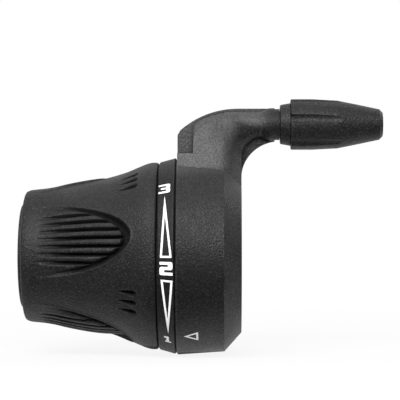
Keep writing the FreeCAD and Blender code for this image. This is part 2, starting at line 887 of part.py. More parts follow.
scoops = []
pads = []
slots = []
main_run = waist_x - grip_left - s.grip_tip_rounding
main_slope = (swell(s.grip_waist_rise) - swell(s.grip_left_rise)) / main_run
groove_left = grip_left + s.groove_start
groove_first = (swell(s.grip_left_rise) + (s.groove_start - s.grip_tip_rounding) * main_slope
                + s.groove_lift)
groove_last = swell(s.pad_right_rise) - s.groove_sink
pad_length = s.scoop_length - s.scoop_moat
pad_half_width = s.scoop_half_width - s.scoop_moat
groove_full = scoop_x + pad_length - groove_left
for number in range(SCOOPS):
    angle = s.scoop_angle + 360.0 / SCOOPS * number
    tag = "_%d" % (number + 1)
    scoops.append(cut("scoop" + tag,
                      scoop_prism("scoop_block" + tag, s.scoop_length, s.scoop_half_width, angle),
                      floor_core))
    pads.append(common("pad" + tag, pad_ring,
                       scoop_prism("pad_block" + tag, pad_length, pad_half_width, angle)))
    for place in range(-GROOVES_PER_SIDE, GROOVES_PER_SIDE + 1):
        groove_angle = angle + place * s.groove_pitch
        across = swell(s.pad_mid_rise) * sine(place * s.groove_pitch)
        share = across / pad_half_width
        reach = scoop_x + pad_length * root(1.0 - share * share) + s.scoop_moat / 2
        length = reach - groove_left
        end = groove_first + (groove_last - groove_first) * length / groove_full
        slots.append(sinking_bar("groove%s_%d" % (tag, place + GROOVES_PER_SIDE), s.groove_radius,
                                 groove_angle, groove_left, length, groove_first, end))
    ridge = angle + 180.0 / SCOOPS
    for place in range(-GILLS_PER_SIDE, GILLS_PER_SIDE + 1):
        gill_angle = ridge + place * s.gill_pitch
        gill_tag = "%s_%d" % (tag, place + GILLS_PER_SIDE)
        slots.append(sinking_bar("gill" + gill_tag, s.gill_radius, gill_angle,
                                 grip_left + s.gill_left, s.gill_length, swell(s.gill_left_rise),
                                 swell(s.gill_right_rise)))
grip_scooped = cut("grip_scooped", grip_blank, fuse("scoops", scoops))
grip_padded = fuse("grip_padded", [grip_scooped] + pads)
slot_tools = doc.addObject("Part::Compound", "slot_tools")
slot_tools.Links = slots
named(cut("grip_part", grip_padded, slot_tools), "grip_cover")

# Clamp screw, washer and nut behind the bar
head_under = -s.clamp_seat - s.washer_thickness
nut_top = s.nut_level + s.nut_height
shank = post("clamp_shank", s.clamp_radius, band_middle, clamp_y, head_under - 0.5,
             nut_top + s.clamp_tip - head_under + 0.5)
head = post("clamp_head", s.clamp_head_radius, band_middle, clamp_y,
            head_under - s.clamp_head_height, s.clamp_head_height)
key = prism("clamp_key", s.clamp_key_radius, s.clamp_key_depth + 1.0, band_middle, clamp_y,
            head_under - s.clamp_head_height - 1.0)
named(cut("clamp_bolt_part", fuse("clamp_solid", [shank, head]), key), "clamp_bolt")
washer_hole = s.clamp_radius + s.clamp_hole_clearance
named(cut("clamp_washer_part",
          post("washer_disc", s.clamp_head_radius, band_middle, clamp_y, head_under,
               s.washer_thickness),
          post("washer_bore", washer_hole, band_middle, clamp_y, head_under - 1.0,
               s.washer_thickness + 2.0)), "clamp_washer")
named(cut("clamp_nut_part",
          prism("nut_block", s.nut_radius, s.nut_height, band_middle, clamp_y, s.nut_level,
                nut_turn),
          post("nut_bore", s.clamp_radius + s.thread_clearance, band_middle, clamp_y,
               s.nut_level - 1.0, s.nut_height + 2.0)), "clamp_nut")

# Bent tube that leads the cable through the tower and the elbow
guide_solid = along_cable("guide_solid", cup_wall.number, s.screw_tip.number - 0.6, s.guide_radius.number)
guide_hole = along_cable("guide_hole", cup_wall.number - 3.0, s.screw_tip.number + 1.0, s.guide_bore.number)
named(cut("cable_guide_part", guide_solid, guide_hole), "cable_guide")

# Threaded bush in the end of the arm
named(cut("insert_part",
          rod("insert_body", s.insert_radius, neck_end - s.insert_length, s.insert_length, arm_y, arm_z),
          rod("insert_hole", s.screw_radius + s.thread_clearance,
              neck_end - s.insert_length - 1.0, s.insert_length + 2.0, arm_y, arm_z)),
      "adjuster_insert")

# Collar between the arm and the knob, turned about its own axis
collar_left = neck_end + s.collar_gap
collar_right = collar_left + s.collar_width
hub_right = collar_right + s.hub_length
spring_seat = collar_left + s.collar_floor
collar_blank = turned("collar_blank", [
    (collar_left, s.screw_radius + s.screw_clearance),
    (spring_seat, s.screw_radius + s.screw_clearance),
    (spring_seat, s.hub_bore),
    (hub_right, s.hub_bore),
    (hub_right, s.hub_radius),
    (collar_right, s.hub_radius),
    (collar_right, s.collar_radius),
    (collar_left + s.collar_bevel, s.collar_left_radius),
    (collar_left, s.collar_left_radius - s.collar_bevel),
])


# Keys of the hub, on both sides of the axis
def hub_keys(name, height, width, start, length):
    return block(name, length, width, 2 * (s.hub_radius + height), start, -width / 2,
                 -s.hub_radius - height)


key_bar = hub_keys("key_bar", s.hub_key_height, s.hub_key_width, collar_right - 0.5,
                   s.hub_length + 0.5)
key_core = rod("key_core", s.hub_bore + 0.2, collar_right - 1.0, s.hub_length + 2.0)
collar_solid = fuse("collar_solid", [collar_blank, cut("collar_keys", key_bar, key_core)])
named(move(collar_solid, 0.0, arm_y, arm_z), "click_collar")

# Knob
knob_left = collar_right + s.knob_gap
knob_right = knob_left + s.knob_length
recess_end = knob_left + s.knob_recess
head_left = recess_end + s.screw_head
head_right = head_left + s.screw_head_length
socket_left = knob_right - s.socket_depth
recess = s.hub_radius + s.hub_clearance
knob_blank = turned("knob_blank", [
    (knob_left, recess),
    (recess_end, recess),
    (recess_end, s.wire_hole),
    (socket_left, s.wire_hole),
    (socket_left, s.socket_radius),
    (knob_right, s.socket_radius),
    (knob_right, s.knob_nose_radius - s.knob_nose_bevel),
    (knob_right - s.knob_nose_bevel, s.knob_nose_radius),
    (knob_left + s.knob_length - s.knob_slope, s.knob_slope_radius),
    (knob_left + s.knob_waist, s.knob_waist_radius),
    (knob_left + s.knob_straight, s.knob_radius),
    (knob_left + s.knob_edge, s.knob_radius),
    (knob_left, s.knob_radius - s.knob_edge),
])
knob_tools = []
flute_level = s.knob_radius + s.flute_radius - s.flute_depth
for number in range(FLUTES):
    angle = s.flute_angle + 360.0 / FLUTES * number
    y = -flute_level * cosine(angle)
    z = flute_level * sine(angle)
    knob_tools.append(rod("flute_%d" % (number + 1), s.flute_radius, knob_left - 1.0,
                          s.flute_length + 1.0, y, z))
    knob_tools.append(ball("flute_end_%d" % (number + 1), s.flute_radius,
                           knob_left + s.flute_length, y, z))
knob_tools.append(rod("knob_thread", s.screw_radius, recess_end - 1.0, s.screw_head + 1.5))
knob_tools.append(prism("knob_head", s.screw_head_radius, s.screw_head_length, head_left, 0.0, 0.0, TO_X))
knob_tools.append(hub_keys("key_slot", s.hub_key_height + s.hub_clearance,
                           s.hub_key_width + s.hub_clearance * 2, knob_left - 1.0,
                           s.knob_recess + 1.0))
named(move(cut("knob_part", knob_blank, fuse("knob_tool_fuse", knob_tools)), 0.0, arm_y, arm_z),
      "adjuster_knob")

# Hollow screw moulded into the knob
screw_shank = rod("screw_shank", s.screw_radius, s.screw_tip, head_left - s.screw_tip + 0.5)
screw_head = prism("screw_head", s.screw_head_radius, s.screw_head_length, head_left, 0.0, 0.0, TO_X)
screw_hole = rod("screw_hole", s.wire_hole, s.screw_tip - 1.0, head_right - s.screw_tip + 2.0)
named(move(cut("screw_part", fuse("screw_solid", [screw_shank, screw_head]), screw_hole),
           0.0, arm_y, arm_z), "adjuster_screw")

# Spring between the collar and the knob
spring_low = spring_seat + s.spring_gap + s.spring_wire
spring_high = recess_end - s.spring_gap - s.spring_wire
coil_path = doc.addObject("Part::Polygon", "coil_path")
runs = int(s.spring_turns.number * COIL_RUNS)
rise = (spring_high - spring_low).number / runs
nodes = []
for number in range(runs + 1):
    angle = 2 * math.pi * number / COIL_RUNS
    nodes.append(Vector(s.spring_mean.number * math.cos(angle),
                        s.spring_mean.number * math.sin(angle), rise * number))
coil_path.Nodes = nodes
coil_ring = doc.addObject("Part::Circle", "coil_ring")
bind(coil_ring, "Radius", s.spring_wire)
move(coil_ring, s.spring_mean, 0.0, 0.0, Rotation(Vector(0, 0, 1), nodes[1] - nodes[0]))
coil = doc.addObject("Part::Sweep", "spring_coil")
coil.Sections = [coil_ring]
coil.Spine = (coil_path, [])
coil.Solid = True
coil.Transition = "Right corner"
named(move(coil, spring_low, arm_y, arm_z, TO_X), "adjuster_spring")

doc.recompute()

# Checks before the files are written
faults = []
for item in doc.Objects:
    if "Invalid" in item.State or "Error" in item.State:
        faults.append("%s is %s" % (item.Name, item.State))
for item in pieces:
    shape = item.Shape
    if shape.isNull():
        faults.append("%s has no shape" % item.Label)
    elif not shape.isValid():
        faults.append("%s isn't valid" % item.Label)
    elif len(shape.Solids) != 1:
        faults.append("%s has %d solids" % (item.Label, len(shape.Solids)))
if faults:
    raise RuntimeError("; ".join(faults))

os.makedirs("parts", exist_ok=True)
for item in pieces:
    item.Shape.exportStep("parts/%s.step" % item.Label)
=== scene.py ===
import math

import bmesh
import bpy
import numpy as np
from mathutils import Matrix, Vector
from mathutils.bvhtree import BVHTree


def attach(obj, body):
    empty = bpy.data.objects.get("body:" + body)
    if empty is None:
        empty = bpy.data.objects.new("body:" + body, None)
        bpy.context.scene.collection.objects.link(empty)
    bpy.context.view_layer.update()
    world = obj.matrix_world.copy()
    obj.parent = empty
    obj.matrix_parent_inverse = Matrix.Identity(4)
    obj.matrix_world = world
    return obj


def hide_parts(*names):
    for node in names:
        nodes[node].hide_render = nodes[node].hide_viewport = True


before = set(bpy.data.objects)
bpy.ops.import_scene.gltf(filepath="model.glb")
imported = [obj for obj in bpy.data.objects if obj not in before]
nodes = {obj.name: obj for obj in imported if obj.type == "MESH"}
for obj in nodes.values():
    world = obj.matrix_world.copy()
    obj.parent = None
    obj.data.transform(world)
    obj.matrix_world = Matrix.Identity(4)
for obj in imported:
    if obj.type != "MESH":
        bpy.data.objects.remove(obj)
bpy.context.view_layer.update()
mm = 0.001
farOff = 60.0  # mm, clear of the part
print("frame loaded:", len(nodes), "nodes")


# points on the part are given by x along the bar, the angle up from the front, and the radius
def aroundBar(x, angle, radius):
    turn = math.radians(angle)
    return Vector((x, -radius * math.cos(turn), radius * math.sin(turn))) * mm


def makePiece(name, mesh, smooth=True):
    if smooth:
        mesh.polygons.foreach_set("use_smooth", [True] * len(mesh.polygons))
    piece = bpy.data.objects.new(name, mesh)
    bpy.context.scene.collection.objects.link(piece)
    return piece


def makeMesh(name, verts, faces, smooth=True):
    mesh = bpy.data.meshes.new(name)
    mesh.from_pydata([tuple(v) for v in verts], [], [tuple(f) for f in faces])
    mesh.update()
    return makePiece(name, mesh, smooth)


# turns the faces outwards and keeps edges sharp that bend by more than the limit in degrees
def markEdges(piece, limit, outward=None):
    shape = bmesh.new()
    shape.from_mesh(piece.data)
    bmesh.ops.recalc_face_normals(shape, faces=shape.faces)
    if outward is not None and sum(face.normal.dot(outward) for face in shape.faces) < 0:
        bmesh.ops.reverse_faces(shape, faces=shape.faces)
    for edge in shape.edges:
        if len(edge.link_faces) == 2 and edge.calc_face_angle() > math.radians(limit):
            edge.smooth = False
    shape.to_mesh(piece.data)
    shape.free()


def treeOf(node):
    mesh = nodes[node].data
    return BVHTree.FromPolygons([v.co.copy() for v in mesh.vertices],
                                [tuple(p.vertices) for p in mesh.polygons])


# place on a node's surface, met from outside along the line to the bar's axis
def onSurface(tree, x, angle, lift):
    start = aroundBar(x, angle, farOff)
    inward = (Vector((x * mm, 0, 0)) - start).normalized()
    return tree.ray_cast(start, inward)[0] - inward * lift * mm


# place on a node's surface, met from the front (side -1) or from behind (side 1)
def alongY(tree, x, z, side):
    return tree.ray_cast(Vector((x, farOff * side, z)) * mm, Vector((0, -side, 0)))[0]


def smoothStep(low, high, value):
    t = np.clip((value - low) / (high - low), 0.0, 1.0)
    return t * t * (3.0 - 2.0 * t)


# shader helpers
def grey(level):
    return (level, level, level, 1.0)


def addNode(tree, kind, inputs=None, **settings):
    node = tree.nodes.new(kind)
    for name, value in settings.items():
        setattr(node, name, value)
    for name, value in (inputs or {}).items():
        if isinstance(value, bpy.types.NodeSocket):
            tree.links.new(value, node.inputs[name])
        else:
            node.inputs[name].default_value = value
    return node


def mathNode(tree, operation, first, second, clamp=False):
    node = addNode(tree, "ShaderNodeMath", {0: first, 1: second}, operation=operation, use_clamp=clamp)
    return node.outputs[0]


def times(tree, *values, clamp=False):
    product = values[0]
    for value in values[1:]:
        product = mathNode(tree, "MULTIPLY", product, value, clamp)
    return product


def mixedSum(tree, first, firstShare, second, secondShare, clamp=False):
    return mathNode(tree, "ADD", times(tree, first, firstShare), times(tree, second, secondShare), clamp)


def remap(tree, value, fromMin, fromMax, toMin=0.0, toMax=1.0, curve="SMOOTHSTEP"):
    ends = {"Value": value, "From Min": fromMin, "From Max": fromMax, "To Min": toMin, "To Max": toMax}
    return addNode(tree, "ShaderNodeMapRange", ends, interpolation_type=curve).outputs["Result"]


def mixColour(tree, factor, first, second):
    return addNode(tree, "ShaderNodeMix", {0: factor, 6: first, 7: second}, data_type="RGBA").outputs[2]


def noise(tree, place, scale, detail, roughness=0.5):
    settings = {"Vector": place, "Scale": scale, "Detail": detail, "Roughness": roughness}
    return addNode(tree, "ShaderNodeTexNoise", settings).outputs["Fac"]


def objectPlace(tree):
    return addNode(tree, "ShaderNodeTexCoord").outputs["Object"]


def faceNormal(tree):
    return addNode(tree, "ShaderNodeNewGeometry").outputs["Normal"]


def axesOf(tree, vector):
    return addNode(tree, "ShaderNodeSeparateXYZ", {0: vector}).outputs


def newGroup(name, inputs, outputs):
    group = bpy.data.node_groups.new(name, "ShaderNodeTree")
    for label, kind, value in inputs:
        socket = group.interface.new_socket(label, in_out="INPUT", socket_type="NodeSocket" + kind)
        socket.default_value = value
    for label, kind in outputs:
        group.interface.new_socket(label, in_out="OUTPUT", socket_type="NodeSocket" + kind)
    return group, group.nodes.new("NodeGroupInput").outputs, group.nodes.new("NodeGroupOutput").inputs


def putOut(group, result, **values):
    for name, value in values.items():
        group.links.new(value, result[name])


# a tint under a mask, which also makes the surface rougher by a share of the mask
def putTint(group, given, result, mask, tint, rougher):
    rough = mathNode(group, "ADD", given["Roughness"], times(group, mask, rougher), True)
    putOut(group, result, Colour=mixColour(group, mask, given["Colour"], given[tint]), Roughness=rough)


# spark-eroded grain of moulded plastic and rubber, with a slow drift of shade and shine
grainShape = {"detail": 4.0, "roughness": 0.65, "pitScale": 0.7, "driftScale": 95.0, "driftDetail": 3.0,
              "speckBand": (0.5, 0.63), "driftBand": (0.3, 0.7), "driftShine": 0.45, "speckShine": 0.55,
              "fineHeight": 0.7, "pitHeight": 0.5}


def buildMouldGrain():
    g = grainShape
    group, given, result = newGroup("mouldGrain", [
        ("Dark", "Color", grey(0.02)), ("Light", "Color", grey(0.05)),
        ("Scale", "Float", 3000.0), ("Speckle", "Float", 0.6), ("Drift", "Float", 0.4),
        ("Dull", "Float", 0.6), ("Shine", "Float", 0.4)],
        [("Colour", "Color"), ("Roughness", "Float"), ("Height", "Float")])
    place = objectPlace(group)
    fine = noise(group, place, given["Scale"], g["detail"], g["roughness"])
    slow = noise(group, place, g["driftScale"], g["driftDetail"])
    pitted = {"Vector": place, "Scale": times(group, given["Scale"], g["pitScale"])}
    pits = addNode(group, "ShaderNodeTexVoronoi", pitted).outputs["Distance"]
    speck = remap(group, fine, *g["speckBand"])
    drift = remap(group, slow, *g["driftBand"])
    amount = mixedSum(group, speck, given["Speckle"], drift, given["Drift"], clamp=True)
    shine = mixedSum(group, drift, g["driftShine"], speck, g["speckShine"], clamp=True)
    putOut(group, result, Colour=mixColour(group, amount, given["Dark"], given["Light"]),
           Roughness=remap(group, shine, 0.0, 1.0, given["Dull"], given["Shine"], "LINEAR"),
           Height=mixedSum(group, fine, g["fineHeight"], pits, g["pitHeight"]))
    return group


# painted light: plastic drawn lighter towards the top where light falls, less so to the right of an edge and
# on what faces down
faceLightShape = {"patchScale": 2600.0, "patchDetail": 3.0, "patchBand": (0.25, 0.7, 0.35, 1.0),
             "edgeEase": 0.004, "endEase": 0.0035, "hollowX": (0.006, 0.0115), "hollowDrop": 0.0019,
             "hollowShare": 0.35, "topFacing": (0.0, 0.7, 0.0, 0.85), "armLevel": (0.0296, 0.0326),
             "upFacing": (-0.75, 0.05), "bevelFacing": (0.12, 0.4), "bevelRise": (0.0075, 0.0185, 0.0, 0.65),
             "bevelEnd": (0.0245, 0.0295, 1.0, 0.0)}


def buildPaintedFaceLight():
    f = faceLightShape
    group, given, result = newGroup("paintedFaceLight", [
        ("Colour", "Color", grey(0.03)), ("PaintedLit", "Color", grey(0.1)),
        ("Low", "Float", 0.02), ("High", "Float", 0.03), ("Edge", "Float", 0.004), ("End", "Float", 0.014),
        ("Amount", "Float", 0.0)], [("Colour", "Color")])
    place = objectPlace(group)
    spot = axesOf(group, place)
    facing = axesOf(group, faceNormal(group))
    patch = noise(group, place, f["patchScale"], f["patchDetail"])
    rise = remap(group, spot["Z"], given["Low"], given["High"])
    past = remap(group, spot["X"], given["Edge"], mathNode(group, "ADD", given["Edge"], f["edgeEase"]))
    ending = remap(group, spot["X"], given["End"], mathNode(group, "SUBTRACT", given["End"], f["endEase"]))
    # it sets in higher up in the hollow beside the edge than on the arm
    drop = remap(group, spot["X"], *f["hollowX"], f["hollowDrop"], 0.0)
    level = mathNode(group, "SUBTRACT", spot["Z"], drop)
    tops = times(group, remap(group, facing["Z"], *f["topFacing"]),
                 remap(group, spot["X"], *f["hollowX"], f["hollowShare"], 1.0))
    upper = mathNode(group, "MAXIMUM", tops, remap(group, level, *f["armLevel"]))
    sides = mathNode(group, "MAXIMUM", mathNode(group, "SUBTRACT", 1.0, past), times(group, upper, ending))
    front = times(group, rise, remap(group, facing["Z"], *f["upFacing"]), sides)
    # the painted light on the bevel on the right reaches further down
    bevel = times(group, remap(group, facing["X"], *f["bevelFacing"]),
                  remap(group, spot["Z"], *f["bevelRise"]), remap(group, spot["Z"], *f["bevelEnd"]))
    mask = times(group, mathNode(group, "MAXIMUM", front, bevel), remap(group, patch, *f["patchBand"]),
                 given["Amount"], clamp=True)
    putOut(group, result, Colour=mixColour(group, mask, given["Colour"], given["PaintedLit"]))
    return group


# edges that hands rub: where the softened normal leaves the face's own
rubShape = {"radius": 0.00045, "patchScale": 420.0, "patchDetail": 3.0, "edgeBand": (0.995, 0.9),
            "patchBand": (0.34, 0.6)}


def buildEdgeRub():
    r = rubShape
    group, given, result = newGroup("edgeRub", [
        ("Colour", "Color", grey(0.03)), ("Rubbed", "Color", grey(0.12)),
        ("Amount", "Float", 0.5), ("Roughness", "Float", 0.5), ("Polish", "Float", 0.1)],
        [("Colour", "Color"), ("Roughness", "Float")])
    soft = addNode(group, "ShaderNodeBevel", {"Radius": r["radius"]}, samples=6).outputs["Normal"]
    both = {0: soft, 1: faceNormal(group)}
    bend = addNode(group, "ShaderNodeVectorMath", both, operation="DOT_PRODUCT").outputs["Value"]
    patch = noise(group, objectPlace(group), r["patchScale"], r["patchDetail"])
    mask = times(group, remap(group, bend, *r["edgeBand"]), remap(group, patch, *r["patchBand"]),
                 given["Amount"], clamp=True)
    putTint(group, given, result, mask, "Rubbed", times(group, given["Polish"], -1.0))
    return group


# painted shade in hollows: darker and duller where ambient occlusion finds them
hollowShadeShape = {"shadeBand": (0.9, 0.5), "rougher": 0.5}


def buildPaintedHollowShade():
    group, given, result = newGroup("paintedHollowShade", [
        ("Colour", "Color", grey(0.03)), ("PaintedShade", "Color", grey(0.002)),
        ("Reach", "Float", 0.0015), ("Amount", "Float", 0.8), ("Roughness", "Float", 0.5)],
        [("Colour", "Color"), ("Roughness", "Float")])
    shade = addNode(group, "ShaderNodeAmbientOcclusion", {"Distance": given["Reach"]}, samples=8)
    dark = remap(group, shade.outputs["AO"], *hollowShadeShape["shadeBand"])
    mask = times(group, dark, given["Amount"], clamp=True)
    putTint(group, given, result, mask, "PaintedShade", hollowShadeShape["rougher"])
    return group


# thin dust that settles on what faces up
dustShape = {"speckScale": 900.0, "speckDetail": 5.0, "speckRoughness": 0.7, "speckBand": (0.35, 0.75),
             "upBand": (-0.1, 1.0), "rougher": 0.5}


def buildDustFilm():
    d = dustShape
    group, given, result = newGroup("dustFilm", [
        ("Colour", "Color", grey(0.03)), ("Dust", "Color", (0.3, 0.3, 0.29, 1)),
        ("Amount", "Float", 0.2), ("Roughness", "Float", 0.5)],
        [("Colour", "Color"), ("Roughness", "Float")])
    specks = noise(group, objectPlace(group), d["speckScale"], d["speckDetail"], d["speckRoughness"])
    up = remap(group, axesOf(group, faceNormal(group))["Z"], *d["upBand"])
    mask = times(group, up, remap(group, specks, *d["speckBand"]), given["Amount"])
    putTint(group, given, result, mask, "Dust", d["rougher"])
    return group


# turned or drawn metal: fine rings about the x axis with scattered marks
metalShape = {"ringDetail": 4.0, "stainScale": 500.0, "stainDetail": 5.0, "stainBand": (0.42, 0.7),
              "roughBand": (0.2, 1.1)}


def buildTurnedMetal():
    m = metalShape
    group, given, result = newGroup("turnedMetal", [
        ("Metal", "Color", grey(0.6)), ("Tarnish", "Color", (0.25, 0.24, 0.22, 1)),
        ("Rings", "Float", 9000.0), ("Amount", "Float", 0.4),
        ("Dull", "Float", 0.45), ("Shine", "Float", 0.22)],
        [("Colour", "Color"), ("Roughness", "Float"), ("Height", "Float")])
    place = objectPlace(group)
    turns = times(group, axesOf(group, place)["X"], given["Rings"])
    along = addNode(group, "ShaderNodeCombineXYZ", {"X": turns}).outputs["Vector"]
    rings = noise(group, along, 1.0, m["ringDetail"])
    stain = noise(group, place, m["stainScale"], m["stainDetail"])
    mask = times(group, remap(group, stain, *m["stainBand"]), given["Amount"])
    marks = mathNode(group, "ADD", rings, mask)
    putOut(group, result, Colour=mixColour(group, mask, given["Metal"], given["Tarnish"]), Height=rings,
           Roughness=remap(group, marks, *m["roughBand"], given["Shine"], given["Dull"], "LINEAR"))
    return group


mouldGrain = buildMouldGrain()
paintedFaceLight = buildPaintedFaceLight()
edgeRub = buildEdgeRub()
paintedHollowShade = buildPaintedHollowShade()
dustFilm = buildDustFilm()
turnedMetal = buildTurnedMetal()


def placeGroup(tree, group, inputs):
    return addNode(tree, "ShaderNodeGroup", inputs, node_tree=group).outputs


def newMaterial(name):
    material = bpy.data.materials.new(name)
    material.use_nodes = True
    tree = material.node_tree
    return material, tree, tree.nodes["Principled BSDF"]


def feedShader(tree, shader, colour, roughness, normal):
    tree.links.new(colour, shader.inputs["Base Color"])
    tree.links.new(roughness, shader.inputs["Roughness"])
    tree.links.new(normal, shader.inputs["Normal"])


# relief of the surface, over edges that are rounded a little
def softBump(tree, look, height):
    soft = addNode(tree, "ShaderNodeBevel", {"Radius": look["edgeRadius"]}, samples=6)
    relief = {"Strength": look["bump"], "Distance": look["bumpDepth"], "Height": height,
              "Normal": soft.outputs["Normal"]}
    return addNode(tree, "ShaderNodeBump", relief).outputs["Normal"]


def placeGrain(tree, look):
    return placeGroup(tree, mouldGrain, {"Dark": look["dark"], "Light": look["light"],
                                         "Scale": look["grainScale"], "Speckle": look["speckle"],
                                         "Drift": look["drift"], "Dull": look["dull"],
                                         "Shine": look["shine"]})


def mouldedMaterial(name, look):
    material, tree, shader = newMaterial(name)
    grain = placeGrain(tree, look)
    colour = grain["Colour"]
    # painted light: the upper faces and the tower's face get a lighter tone where the light falls
    if look["fade"] > 0.0:
        fade = placeGroup(tree, paintedFaceLight, {"Colour": colour, "PaintedLit": look["paintedLit"],
                                             "Low": look["paintedLitFrom"], "High": look["paintedLitTo"],
                                             "Edge": look["paintedLitEdge"], "End": look["paintedLitEnd"],
                                             "Amount": look["fade"]})
        colour = fade["Colour"]
    rub = placeGroup(tree, edgeRub, {"Colour": colour, "Roughness": grain["Roughness"],
                                     "Rubbed": look["rubbed"], "Amount": look["rub"],
                                     "Polish": look["polish"]})
    dust = placeGroup(tree, dustFilm, {"Colour": rub["Colour"], "Roughness": rub["Roughness"],
                                       "Amount": look["dust"]})
    # painted shade in hollows, from ambient occlusion
    paintedShade = placeGroup(tree, paintedHollowShade, {"Colour": dust["Colour"], "Roughness": dust["Roughness"],
                                           "Reach": look["hollow"], "Amount": look["paintedShade"]})
    feedShader(tree, shader, paintedShade["Colour"], paintedShade["Roughness"], softBump(tree, look, grain["Height"]))
    shader.inputs["Specular IOR Level"].default_value = look["specular"]
    return material


def metalMaterial(name, look):
    material, tree, shader = newMaterial(name)
    turned = placeGroup(tree, turnedMetal, {"Metal": look["metal"], "Tarnish": look["tarnish"],
                                            "Rings": look["rings"], "Amount": look["amount"],
                                            "Dull": look["dull"], "Shine": look["shine"]})
    feedShader(tree, shader, turned["Colour"], turned["Roughness"], softBump(tree, look, turned["Height"]))
    shader.inputs["Metallic"].default_value = 1.0
    return material


# in these looks the lighter tone on upper faces is painted light, and the darkening in hollows is painted
# shade
housingLook = {"dark": grey(0.0004), "light": grey(0.025), "grainScale": 3000.0, "speckle": 0.85,
               "drift": 0.1, "dull": 0.58, "shine": 0.38, "rubbed": grey(0.09), "rub": 0.35, "polish": 0.1,
               "dust": 0.03, "edgeRadius": 0.00014, "bump": 0.9, "bumpDepth": 0.00015, "specular": 0.43,
               "paintedLit": grey(0.078), "paintedLitFrom": 0.0186, "paintedLitTo": 0.0224, "paintedLitEdge": 0.004,
               "paintedLitEnd": 0.0153, "fade": 0.92, "hollow": 0.0013, "paintedShade": 0.5}
# the cheek gets a lighter painted light than the housing
cheekLook = dict(housingLook, paintedLit=grey(0.1))
dialLook = dict(housingLook, dark=grey(0.002), light=grey(0.02), dull=0.6, shine=0.46, bump=0.6, dust=0.02,
                edgeRadius=0.0001, specular=0.3, fade=0.0)
knobLook = dict(housingLook, dark=grey(0.001), light=grey(0.026), grainScale=2700.0, rub=0.4, fade=0.0)
gripLook = dict(housingLook, drift=0.12, dull=0.62, shine=0.42, rub=0.3, edgeRadius=0.00012,
                bumpDepth=0.00018, specular=0.4, fade=0.0, hollow=0.003, paintedShade=1.0)
acetalLook = {"dark": (0.62, 0.6, 0.55, 1), "light": (0.74, 0.72, 0.67, 1), "grainScale": 2500.0,
              "speckle": 0.4, "drift": 0.5, "dull": 0.5, "shine": 0.36, "rubbed": (0.45, 0.43, 0.4, 1),
              "rub": 0.3, "polish": 0.05, "dust": 0.1, "edgeRadius": 0.0001, "bump": 0.2,
              "bumpDepth": 0.00003, "specular": 0.5, "fade": 0.0, "hollow": 0.001, "paintedShade": 0.2}
springLook = {"metal": (0.5, 0.5, 0.51, 1), "tarnish": (0.22, 0.2, 0.18, 1), "rings": 4000.0, "amount": 0.5,
              "dull": 0.42, "shine": 0.25, "edgeRadius": 0.00012, "bump": 0.25, "bumpDepth": 0.00002}
screwLook = dict(springLook, metal=(0.56, 0.56, 0.57, 1), tarnish=(0.3, 0.28, 0.26, 1), rings=7000.0,
                 amount=0.4, dull=0.4, shine=0.2)
brassLook = dict(springLook, metal=(0.2, 0.15, 0.09, 1), tarnish=(0.05, 0.042, 0.032, 1), rings=8000.0,
                 amount=0.75, dull=0.5, shine=0.3)

housingPlastic = mouldedMaterial("housingPlastic", housingLook)
cheekPlastic = mouldedMaterial("cheekPlastic", cheekLook)
dialPlastic = mouldedMaterial("dialPlastic", dialLook)
gripRubber = mouldedMaterial("gripRubber", gripLook)
knobPlastic = mouldedMaterial("knobPlastic", knobLook)
acetalPlastic = mouldedMaterial("acetalPlastic", acetalLook)
springSteel = metalMaterial("springSteel", springLook)
screwSteel = metalMaterial("screwSteel", screwLook)
bushBrass = metalMaterial("bushBrass", brassLook)

finishes = {"housing": housingPlastic, "end_ring": housingPlastic, "rotor": dialPlastic,
            "grip_cover": gripRubber, "adjuster_knob": knobPlastic, "click_collar": knobPlastic,
            "cable_guide": acetalPlastic, "thrust_washer": acetalPlastic,
            "detent_spring": springSteel, "adjuster_spring": springSteel,
            "clamp_bolt": screwSteel, "clamp_nut": screwSteel, "clamp_washer": screwSteel,
            "adjuster_insert": bushBrass, "adjuster_screw": bushBrass}
for node, finish in finishes.items():
    for place in nodes[node].material_slots:
        place.material = finish
print("finishes set on", len(finishes), "nodes")


